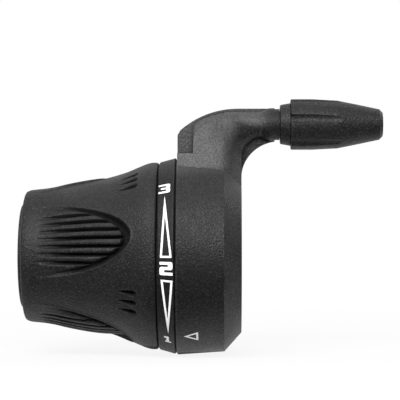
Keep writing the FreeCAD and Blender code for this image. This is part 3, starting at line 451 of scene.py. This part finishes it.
# rubber grip: one skin over a fine grid, with scoops, ribs and slots worked into its radius
grip = {
    "left": -44.1, "right": -12.0,
    "leftRows": [0.0, 0.06, 0.15, 0.28, 0.45, 0.66, 0.9],
    "rightRows": [0.62, 0.45, 0.3, 0.18, 0.1, 0.04, 0.0],
    "rowBands": [(-42.8, -24.0, 0.42), (-24.0, -16.2, 0.19), (-16.2, -12.75, 0.33)],  # from, to, step
    "columnsFine": 0.42, "columnsWide": 0.75, "wideBand": (26.5, 33.0), "lastColumn": 359.8,
    "edgeLimit": 50.0,
    "profile": [(-44.1, 15.0), (-43.95, 15.45), (-43.6, 15.75), (-43.2, 15.9), (-42.1, 16.03), (-40.7, 16.17),
                (-39.2, 16.3), (-37.8, 16.47), (-31.0, 17.55), (-28.2, 18.0), (-25.4, 18.5), (-23.5, 18.92),
                (-21.8, 19.4), (-20.3, 19.95), (-18.9, 20.55), (-17.4, 21.2), (-15.95, 21.82), (-14.5, 22.4),
                (-13.1, 22.64), (-12.4, 22.62), (-12.15, 22.5), (-12.0, 22.25)],
    "core": 13.62, "coreMiddle": -34.0, "coreFlareStart": -24.75, "coreFlareEnd": 20.1,
    "scoops": 4, "scoopAngle": 15.0, "scoopReach": 60.0, "scoopX": -38.1, "scoopLong": 20.2,
    "scoopHalf": 8.5, "scoopEdge": 1.0, "moat": (1.5, 0.8), "wall": 0.34,
    "floor": [(-44.1, 16.0), (-27.0, 17.2), (-19.1, 17.75), (-16.5, 18.0)],
    "bead": 0.15, "beadOut": 0.1, "beadWide": 0.26, "beadFade": (-42.8, -39.0),
    "bulge": [(-44.1, 0.0), (-39.5, 0.0), (-36.3, 0.05), (-34.8, 0.2), (-33.4, 0.28), (-31.9, 0.34),
              (-29.0, 0.4), (-27.6, 0.36), (-26.1, 0.28), (-24.7, 0.1), (-23.2, -0.2), (-22.0, -0.48),
              (-20.0, -0.85), (-17.8, -1.3)],
    "padRound": 0.7, "padSink": 0.25, "crown": 0.1,
    "grooves": 7, "groovePitch": 6.25, "grooveHalf": 0.5, "grooveFlat": 0.1, "grooveDepth": 1.25,
    "grooveFade": (-40.6, -34.6),
    "gillPitch": 7.1, "gillX": (-21.1, -16.6), "gillHalf": 1.05, "gillLeast": 0.02, "gillFlat": 0.3,
    "gillTaper": 0.8, "gillRound": 0.72, "gillDepth": 1.5, "gillDip": 1.3,
}


# line through points, eased at its corners
def easedLine(points, x, reach=0.8):
    px, pr = np.array(points).T
    offsets = np.linspace(-reach, reach, 17)
    room = np.minimum(1.0, np.minimum(np.abs(x - px[0]), np.abs(px[-1] - x)) / reach)
    return np.mean([np.interp(x + room * o, px, pr) for o in offsets], axis=0)


# rough distance inside an ellipse
def ellipseDepth(x, t, centre, long, half):
    e = np.sqrt(((x - centre) / long) ** 2 + (t / half) ** 2) + 1e-6
    slope = np.sqrt(((x - centre) / long ** 2) ** 2 + (t / half ** 2) ** 2) / e + 1e-6
    return (1.0 - e) / slope


# signed angle from a middle line, between -180 and 180
def angleFrom(angle, middle):
    return (angle - middle + 180.0) % 360.0 - 180.0


# radius within one finger scoop, and how far inside its edge a point lies
def scoopRadius(x, away, main):
    g = grip
    across = main * np.sin(np.radians(np.clip(away, -g["scoopReach"], g["scoopReach"])))
    outer = ellipseDepth(x, across, g["scoopX"], g["scoopLong"], g["scoopHalf"])
    inner = ellipseDepth(x, across, g["scoopX"], g["scoopLong"] - g["moat"][0], g["scoopHalf"] - g["moat"][1])
    floor = np.minimum(main, easedLine(g["floor"], x))
    fade = smoothStep(*g["grooveFade"], x)
    cut = np.zeros_like(x)
    for groove in range(g["grooves"]):
        middle = (groove - (g["grooves"] - 1) / 2.0) * g["groovePitch"]
        aside = np.abs(away - middle) * np.pi / 180.0 * main
        cut = np.maximum(cut, 1.0 - smoothStep(g["grooveFlat"], g["grooveHalf"], aside))
    crown = g["crown"] * np.cos(np.radians(away / g["groovePitch"] * 360.0 + 180.0))
    padTop = main + easedLine(g["bulge"], x) + crown * fade - g["grooveDepth"] * fade * cut
    pad = np.maximum(floor, floor + (padTop - floor) * np.sqrt(np.clip(inner / g["padRound"], 0.0, 1.0)))
    low = np.maximum(padTop, floor - g["padSink"])
    pad = np.where(inner > 0.0, np.where(padTop > floor, pad, low), floor)
    bead = g["bead"] * np.exp(-((outer + g["beadOut"]) / g["beadWide"]) ** 2) * smoothStep(*g["beadFade"], x)
    return main + (pad - main) * smoothStep(0.0, g["wall"], outer) + bead, outer


# depth of one slot between two scoops
def gillCut(x, aside):
    g = grip
    run = (x - g["gillX"][0]) / (g["gillX"][1] - g["gillX"][0])
    tail = np.clip(run, 0.0, 1.0) ** g["gillTaper"]
    end = np.sqrt(1.0 - np.clip((run - g["gillRound"]) / (1.0 - g["gillRound"]), 0.0, 1.0) ** 2)
    half = g["gillHalf"] * tail * end + g["gillLeast"]
    inside = (1.0 - smoothStep(g["gillFlat"], 1.0, aside / half)) * ((run > 0.0) & (run < 1.0))
    return g["gillDepth"] * np.minimum(1.0, tail * g["gillDip"]) * end * inside


def gripRadius(x, angle):
    g = grip
    pitch = 360.0 / g["scoops"]
    main = easedLine(g["profile"], x)
    radius = main.copy()
    for scoop in range(g["scoops"]):
        away = angleFrom(angle, g["scoopAngle"] + pitch * scoop)
        shaped, outer = scoopRadius(x, away, main)
        radius = np.where((np.abs(away) < g["scoopReach"]) & (outer > -g["scoopEdge"]), shaped, radius)
        ridge = angleFrom(angle, g["scoopAngle"] + pitch * (scoop + 0.5))
        for gill in (-1, 0, 1):
            aside = np.abs(ridge - gill * g["gillPitch"]) * np.pi / 180.0 * main
            radius = radius - gillCut(x, aside)
    return radius


def buildGrip():
    g = grip
    bands = [np.arange(*band) for band in g["rowBands"]]
    ends = [g["left"] + np.array(g["leftRows"]), g["right"] - np.array(g["rightRows"])]
    rows = np.unique(np.round(np.concatenate(bands + ends), 4))
    pitch = 360.0 / g["scoops"]
    columns = []
    angle = 0.0
    while angle < g["lastColumn"]:
        columns.append(angle + g["scoopAngle"])
        away = abs((angle + pitch / 2) % pitch - pitch / 2)
        plain = g["wideBand"][0] <= away <= g["wideBand"][1]
        angle += g["columnsWide"] if plain else g["columnsFine"]
    columns = np.array(columns)
    x, angle = np.meshgrid(rows, columns, indexing="ij")
    outer = gripRadius(x, angle)
    # the inside follows the drum's tube and its flare
    flareMiddle = (g["right"] + g["coreFlareStart"]) / 2
    insideX = np.array([g["right"], flareMiddle, g["coreFlareStart"], g["coreMiddle"], g["left"]])
    insideR = np.interp(insideX, [g["coreFlareStart"], g["right"]], [g["core"], g["coreFlareEnd"]])
    allX = np.concatenate([x, np.repeat(insideX[:, None], len(columns), axis=1)])
    allR = np.concatenate([outer, np.repeat(insideR[:, None], len(columns), axis=1)])
    turn = np.radians(np.concatenate([angle, np.repeat(columns[None, :], len(insideX), axis=0)]))
    verts = np.stack([allX, -allR * np.cos(turn), allR * np.sin(turn)], axis=-1).reshape(-1, 3) * mm
    count, wide = allX.shape
    at = np.arange(count * wide).reshape(count, wide)
    nextRow = np.roll(at, -1, axis=0)
    faces = np.stack([nextRow, np.roll(nextRow, -1, axis=1), np.roll(at, -1, axis=1), at], axis=-1)
    piece = makeMesh("gripSkin", verts.tolist(), faces.reshape(-1, 4).tolist())
    markEdges(piece, g["edgeLimit"])
    piece.data.materials.append(gripRubber)
    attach(piece, "grip")
    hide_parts("grip_cover")
    return piece


gripSkin = buildGrip()
print("grip skin:", len(gripSkin.data.polygons), "faces")


# cheek on the leaning face of the tower: a thin foot, and a boss with a rounded shoulder
cheek = {"foot": -7.36, "footTop": 24.66, "right": 4.3, "bottom": 21.2, "lean": 26.0, "face": (-10.0, 21.4),
         "thick": 1.0, "riseBand": (23.5, 30.5), "taperFrom": -0.4, "meet": 2.4, "back": 0.9,
         "sunk": 0.02, "proud": 0.04, "proudTo": 2.0, "columns": 40, "footRows": 12, "bossRows": 46,
         "edgeLimit": 40.0,
         "shoulder": [(24.66, -3.55), (28.3, -3.48), (29.0, -3.3), (29.6, -2.98), (30.3, -2.45), (31.0, -1.7),
                      (31.8, -0.45), (32.6, 1.1), (33.2, 2.5), (33.69, 3.9)]}


def buildCheek():
    c = cheek
    tree = treeOf("housing")
    heights, lefts = np.array(c["shoulder"]).T
    wide = c["columns"]
    for name, levels in (("Foot", np.linspace(c["bottom"], c["footTop"], c["footRows"])),
                         ("Boss", np.linspace(c["footTop"], heights[-1], c["bossRows"]))):
        front = []
        for z in levels:
            left = c["foot"] if name == "Foot" else float(np.interp(z, heights, lefts))
            plane = c["face"][0] + (z - c["face"][1]) * math.tan(math.radians(c["lean"]))
            for x in np.linspace(left, c["right"], wide):
                hit = alongY(tree, x, z, -1)
                y = hit.y / mm if hit and x > c["meet"] else plane
                taper = 1.0 - smoothStep(c["taperFrom"], c["right"], x)
                rise = c["thick"] * float(smoothStep(*c["riseBand"], z) * taper)
                front.append((x, y - rise + c["sunk"] - c["proud"] * (x < c["proudTo"]), z))
        verts = [Vector(v) * mm for v in front] + [Vector((x, y + c["back"], z)) * mm for x, y, z in front]
        count = len(front)
        last = len(levels) - 1
        faces = []
        for row in range(last):
            for k in range(row * wide, row * wide + wide - 1):
                faces.append((k, k + 1, k + wide + 1, k + wide))
            for k in (row * wide, row * wide + wide - 1):
                faces.append((k, k + wide, k + wide + count, k + count))
        for row in (0, last):
            for k in range(row * wide, row * wide + wide - 1):
                faces.append((k, k + 1, k + 1 + count, k + count))
        piece = makeMesh("cheek" + name, verts, faces)
        markEdges(piece, c["edgeLimit"], outward=Vector((0, -1, 0)))
        piece.data.materials.append(cheekPlastic)
        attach(piece, "housing")


buildCheek()
print("cheek on the tower")


# skins that round the hollow between the tower and the arm, and the arm's end behind it
saddle = {"x": (3.0, 13.0), "z": (23.6, 34.2), "step": 0.25, "passes": 260, "bend": (13.6, 23.15),
          "within": 6.6, "side": -1, "least": 1.5, "raised": 0.015, "tuck": 0.03}
backSaddle = dict(saddle, x=(0.5, 8.0), z=(29.5, 34.0), side=1, least=1.3)


def buildSaddle(name, s):
    side = s["side"]
    tree = treeOf("housing")
    across = np.arange(s["x"][0], s["x"][1] + 0.01, s["step"])
    up = np.arange(s["z"][0], s["z"][1] + 0.01, s["step"])
    depth = np.full((len(up), len(across)), s["least"])
    for i, z in enumerate(up):
        for k, x in enumerate(across):
            hit = alongY(tree, x, z, side)
            depth[i, k] = max(hit.y / mm * side, s["least"]) if hit else s["least"]
    free = np.hypot(across[None, :] - s["bend"][0], up[:, None] - s["bend"][1]) > s["within"]
    free[[0, -1], :] = False
    free[:, [0, -1]] = False
    skin = depth.copy()
    for _ in range(s["passes"]):
        mean = (np.roll(skin, 1, 0) + np.roll(skin, -1, 0) + np.roll(skin, 1, 1) + np.roll(skin, -1, 1)) / 4
        skin = np.where(free, np.maximum(depth, mean), depth)
    raised = skin - depth > s["raised"]
    skin = np.where(raised, skin, depth - s["tuck"])
    verts = [Vector((x, skin[i, k] * side, z)) * mm for i, z in enumerate(up) for k, x in enumerate(across)]
    wide = len(across)
    faces = []
    for i in range(len(up) - 1):
        for k in range(wide - 1):
            if raised[i:i + 2, k:k + 2].any():
                at = i * wide + k
                faces.append((at, at + 1, at + wide + 1, at + wide)[::-side])
    piece = makeMesh(name, verts, faces)
    spare = bmesh.new()
    spare.from_mesh(piece.data)
    bmesh.ops.delete(spare, geom=[v for v in spare.verts if not v.link_faces], context="VERTS")
    spare.to_mesh(piece.data)
    spare.free()
    piece.data.materials.append(housingPlastic)
    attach(piece, "housing")
    return piece


elbowSaddle = buildSaddle("elbowSaddle", saddle)
elbowBack = buildSaddle("elbowBack", backSaddle)
print("elbow saddles:", len(elbowSaddle.data.polygons) + len(elbowBack.data.polygons), "faces")


# flat rib that follows the inner curve under the elbow
rib = {"centre": (17.4, 18.9), "reach": (9.38, 8.85), "turn": 81.4, "steps": 48, "deep": 1.9,
       "y": (-1.52, 1.28), "bevel": 0.25, "edgeLimit": 40.0}


def buildRib():
    r = rib
    front, back = r["y"]
    centreX, centreZ = r["centre"]
    reachX, reachZ = r["reach"]
    section = [(r["deep"], front), (r["bevel"], front), (0.0, front + r["bevel"]),
               (0.0, back - r["bevel"]), (r["bevel"], back), (r["deep"], back)]
    corners = len(section)
    verts = []
    for turn in np.radians(np.linspace(0.0, r["turn"], r["steps"] + 1)):
        edge = Vector((centreX - reachX * math.cos(turn), 0, centreZ + reachZ * math.sin(turn)))
        inward = Vector((-math.cos(turn) / reachX, 0, math.sin(turn) / reachZ)).normalized()
        for depth, y in section:
            verts.append((edge + inward * depth + Vector((0, y, 0))) * mm)
    faces = []
    for at in range(0, r["steps"] * corners, corners):
        for c in range(corners):
            after = (c + 1) % corners
            faces.append((at + c, at + after, at + corners + after, at + corners + c))
    faces.append(range(corners))
    faces.append(range(r["steps"] * corners, (r["steps"] + 1) * corners))
    piece = makeMesh("elbowRib", verts, faces)
    markEdges(piece, r["edgeLimit"])
    piece.data.materials.append(housingPlastic)
    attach(piece, "housing")
    return piece


elbowRib = buildRib()
print("elbow rib:", len(elbowRib.data.polygons), "faces")


# white print on the ring of numbers and the pointer on the housing
ink = {
    "arc": 23.4, "lift": 0.03, "strip": 0.35, "line": 0.47,
    "numberRound": 0.16, "outerRound": 0.12, "innerRound": 0.05,
    "three": {"x": (-11.5, -8.75), "angle": (41.1, 48.2)},
    "two": {"x": (-11.05, -8.0), "angle": (-9.4, -1.7)},
    "one": {"x": (-10.3, -8.55), "angle": (-59.5, -52.9)},
    "upperWedge": [(-10.0, 38.9), (-10.95, 0.6), (-8.2, 0.6)],
    "lowerWedge": [(-10.8, -12.1), (-8.0, -12.3), (-9.25, -49.8)],
    "pointer": [(-5.65, -51.0), (-2.25, -47.6), (-2.2, -55.9)],
}
inkLook = {"dark": (0.8, 0.8, 0.79, 1), "light": (0.96, 0.96, 0.95, 1), "grainScale": 3600.0, "speckle": 0.75,
           "drift": 0.55, "dull": 0.62, "shine": 0.45, "bump": 0.3, "bumpDepth": 0.00003}

# outlines of block numbers in a unit square
blockNumbers = {
    "three": [(0, 1), (0.9, 1), (1, 0.9), (1, 0.58), (0.93, 0.5), (1, 0.42), (1, 0.1), (0.9, 0), (0, 0),
              (0, 0.2), (0.66, 0.2), (0.66, 0.4), (0.2, 0.4), (0.2, 0.6), (0.66, 0.6), (0.66, 0.8), (0, 0.8)],
    "two": [(0, 1), (0.9, 1), (1, 0.9), (1, 0.5), (0.9, 0.4), (0.36, 0.4), (0.36, 0.22), (1, 0.22), (1, 0),
            (0.08, 0), (0, 0.08), (0, 0.54), (0.1, 0.63), (0.64, 0.63), (0.64, 0.79), (0, 0.79)],
    "one": [(0.0, 1), (0.66, 1), (0.66, 0.22), (0.96, 0.22), (0.96, 0), (0.12, 0), (0.12, 0.22), (0.3, 0.22),
            (0.3, 0.74), (0.0, 0.74)],
}


def inkMaterial(name, look):
    material, tree, shader = newMaterial(name)
    grain = placeGrain(tree, look)
    relief = {"Strength": look["bump"], "Distance": look["bumpDepth"], "Height": grain["Height"]}
    bump = addNode(tree, "ShaderNodeBump", relief)
    feedShader(tree, shader, grain["Colour"], grain["Roughness"], bump.outputs["Normal"])
    return material


dialInk = inkMaterial("dialInk", inkLook)


# rounds the corners of a flat outline
def roundedOutline(points, radius, steps=4):
    out = []
    count = len(points)
    for i in range(count):
        here = Vector(points[i])
        before = Vector(points[i - 1]) - here
        after = Vector(points[(i + 1) % count]) - here
        reach = min(radius, before.length * 0.45, after.length * 0.45)  # under half of each side
        first = here + before.normalized() * reach
        last = here + after.normalized() * reach
        for k in range(steps + 1):
            t = k / steps
            out.append(first * (1 - t) ** 2 + here * 2 * t * (1 - t) + last * t * t)
    return out


# lays a flat print, in mm of bar length and of arc, onto the surface of a node
def layPrint(name, outlines, tree, body):
    flat = bmesh.new()
    for ring in outlines:
        loop = [flat.verts.new((p[0], p[1], 0)) for p in ring]
        for i in range(len(loop)):
            flat.edges.new((loop[i - 1], loop[i]))
    bmesh.ops.triangle_fill(flat, use_beauty=True, use_dissolve=False, edges=flat.edges[:])
    # cut into narrow strips, so that it bends round the surface
    low = min(v.co.y for v in flat.verts)
    high = max(v.co.y for v in flat.verts)
    level = low + ink["strip"]
    while level < high:
        bmesh.ops.bisect_plane(flat, geom=flat.verts[:] + flat.edges[:] + flat.faces[:],
                               plane_co=(0, level, 0), plane_no=(0, 1, 0))
        level += ink["strip"]
    bmesh.ops.triangulate(flat, faces=flat.faces[:])
    for vert in flat.verts:
        vert.co = onSurface(tree, vert.co.x, math.degrees(vert.co.y / ink["arc"]), ink["lift"])
    bmesh.ops.recalc_face_normals(flat, faces=flat.faces[:])
    middle = sum((v.co for v in flat.verts), Vector()) / len(flat.verts)
    if sum(f.normal.dot(Vector((0, middle.y, middle.z))) for f in flat.faces) < 0:
        bmesh.ops.reverse_faces(flat, faces=flat.faces[:])
    mesh = bpy.data.meshes.new(name)
    flat.to_mesh(mesh)
    flat.free()
    piece = makePiece(name, mesh)
    mesh.materials.append(dialInk)
    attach(piece, body)
    return piece


def wedgeOutlines(corners):
    outer = [Vector((x, math.radians(angle) * ink["arc"])) for x, angle in corners]
    inner = []
    for i in range(3):
        first = (outer[i - 1] - outer[i]).normalized()
        last = (outer[(i + 1) % 3] - outer[i]).normalized()
        split = (first + last).normalized()
        half = math.acos(max(-1.0, min(1.0, first.dot(last)))) / 2
        inner.append(outer[i] + split * ink["line"] / math.sin(half))
    return [roundedOutline(outer, ink["outerRound"]), roundedOutline(inner, ink["innerRound"])]


def numberOutlines(number):
    x0, x1 = ink[number]["x"]
    y0, y1 = [math.radians(a) * ink["arc"] for a in ink[number]["angle"]]
    points = [(x0 + (x1 - x0) * u, y0 + (y1 - y0) * v) for u, v in blockNumbers[number]]
    return [roundedOutline(points, ink["numberRound"])]


def printDial():
    ringTree = treeOf("rotor")
    prints = []
    for name in blockNumbers:
        prints.append(layPrint("print_" + name, numberOutlines(name), ringTree, "grip"))
    for name in ("upperWedge", "lowerWedge"):
        prints.append(layPrint("print_" + name, wedgeOutlines(ink[name]), ringTree, "grip"))
    prints.append(layPrint("print_pointer", wedgeOutlines(ink["pointer"]), treeOf("housing"), "housing"))
    return prints


dialPrints = printDial()
print("dial print:", len(dialPrints), "pieces")


# pale floor under the part, white to the camera away from it
stage = {"floorSize": 6.0, "floorLevel": -24.0, "shadowNear": 0.05, "shadowFar": 0.26, "lift": 0.88,
         "bounce": 0.7, "glossy": 0.12, "behind": (-0.03, -0.01), "fibreScale": 700.0, "fibreDetail": 5.0,
         "fibreDark": 0.84, "fibreLight": 0.89, "roughness": 0.9, "specular": 0.1}


# mask of what the camera sees, also through clear things
def seenRays(tree, ways):
    return mathNode(tree, "MAXIMUM", ways["Is Camera Ray"], ways["Is Transmission Ray"])


def buildFloor():
    s = stage
    half = s["floorSize"] / 2
    z = s["floorLevel"] * mm
    floor = makeMesh("floor", [(-half, -half, z), (half, -half, z), (half, half, z), (-half, half, z)],
                     [(0, 1, 2, 3)], smooth=False)
    material, tree, shader = newMaterial("floorPaper")
    shader.inputs["Roughness"].default_value = s["roughness"]
    shader.inputs["Specular IOR Level"].default_value = s["specular"]
    place = objectPlace(tree)
    ways = addNode(tree, "ShaderNodeLightPath").outputs
    seen = seenRays(tree, ways)
    fibre = noise(tree, place, s["fibreScale"], s["fibreDetail"])
    paper = mixColour(tree, fibre, grey(s["fibreDark"]), grey(s["fibreLight"]))
    other = mixColour(tree, ways["Is Glossy Ray"], grey(s["bounce"]), grey(s["glossy"]))
    tree.links.new(mixColour(tree, seen, other, paper), shader.inputs["Base Color"])
    # the shadow shows near the part, and reflections see white behind it
    away = addNode(tree, "ShaderNodeVectorMath", {0: place}, operation="LENGTH").outputs["Value"]
    share = remap(tree, away, s["shadowNear"], s["shadowFar"], s["lift"], 1.0)
    behind = remap(tree, axesOf(tree, place)["Y"], *s["behind"])
    white = mathNode(tree, "MAXIMUM", times(tree, share, seen), times(tree, behind, ways["Is Glossy Ray"]))
    glow = addNode(tree, "ShaderNodeEmission", {"Color": grey(1.0), "Strength": 1.0})
    mix = addNode(tree, "ShaderNodeMixShader", {0: white, 1: shader.outputs[0], 2: glow.outputs[0]})
    tree.links.new(mix.outputs[0], tree.nodes["Material Output"].inputs["Surface"])
    floor.data.materials.append(material)


lights = {
    "world": 0.28, "room": 0.025, "ceiling": 0.35, "behindBand": (0.0, 0.7), "overheadBand": (0.45, 0.95),
    "target": (-0.004, 0.0, 0.006),
    "key": {"at": (-0.16, -0.68, 0.5), "size": (0.9, 0.34), "watts": 10.2},
    "top": {"at": (-0.05, 0.1, 0.65), "size": (0.8, 0.35), "watts": 0.8},
    "side": {"at": (0.65, 0.45, 0.42), "size": (0.3, 0.4), "watts": 1.2},
}


def buildWorld():
    world = bpy.data.worlds.new("studio")
    bpy.context.scene.world = world
    world.use_nodes = True
    tree = world.node_tree
    background = tree.nodes["Background"]
    ways = addNode(tree, "ShaderNodeLightPath").outputs
    # reflections meet the white backdrop behind and overhead, and a dim room in front
    way = axesOf(tree, addNode(tree, "ShaderNodeTexCoord").outputs["Generated"])
    backdrop = mathNode(tree, "MAXIMUM", remap(tree, way["Y"], *lights["behindBand"], lights["room"], 1.0),
                        remap(tree, way["Z"], *lights["overheadBand"], lights["room"], lights["ceiling"]))
    matt = mathNode(tree, "SUBTRACT", 1.0, ways["Is Glossy Ray"])
    dim = mixedSum(tree, backdrop, ways["Is Glossy Ray"], matt, lights["world"])
    background.inputs["Color"].default_value = grey(1.0)
    tree.links.new(mathNode(tree, "MAXIMUM", dim, seenRays(tree, ways)), background.inputs["Strength"])


# turns a lamp or the camera towards a point
def placeFacing(name, data, at, target):
    holder = bpy.data.objects.new(name, data)
    holder.location = at
    holder.rotation_euler = (target - at).to_track_quat("-Z", "Y").to_euler()
    bpy.context.scene.collection.objects.link(holder)
    return holder


def buildLights():
    for name in ("key", "top", "side"):
        look = lights[name]
        lamp = bpy.data.lights.new(name + "Light", "AREA")
        lamp.shape = "RECTANGLE"
        lamp.size, lamp.size_y = look["size"]
        lamp.energy = look["watts"]
        placeFacing(name + "Light", lamp, Vector(look["at"]), Vector(lights["target"]))


view = {"at": (4.7, -461.6, 14.4), "aim": (-2.02, 0.0, 13.53), "lens": 171.4, "sensor": 36.0,
        "clip": (0.01, 20.0)}


def buildCamera():
    camera = bpy.data.cameras.new("camera")
    camera.lens = view["lens"]
    camera.sensor_fit = "HORIZONTAL"
    camera.sensor_width = view["sensor"]
    camera.clip_start, camera.clip_end = view["clip"]
    camera.dof.use_dof = False
    holder = placeFacing("camera", camera, Vector(view["at"]) * mm, Vector(view["aim"]) * mm)
    bpy.context.scene.camera = holder


buildFloor()
buildWorld()
buildLights()
buildCamera()
bpy.context.scene.view_settings.view_transform = "Standard"
print("stage, lights and camera ready")
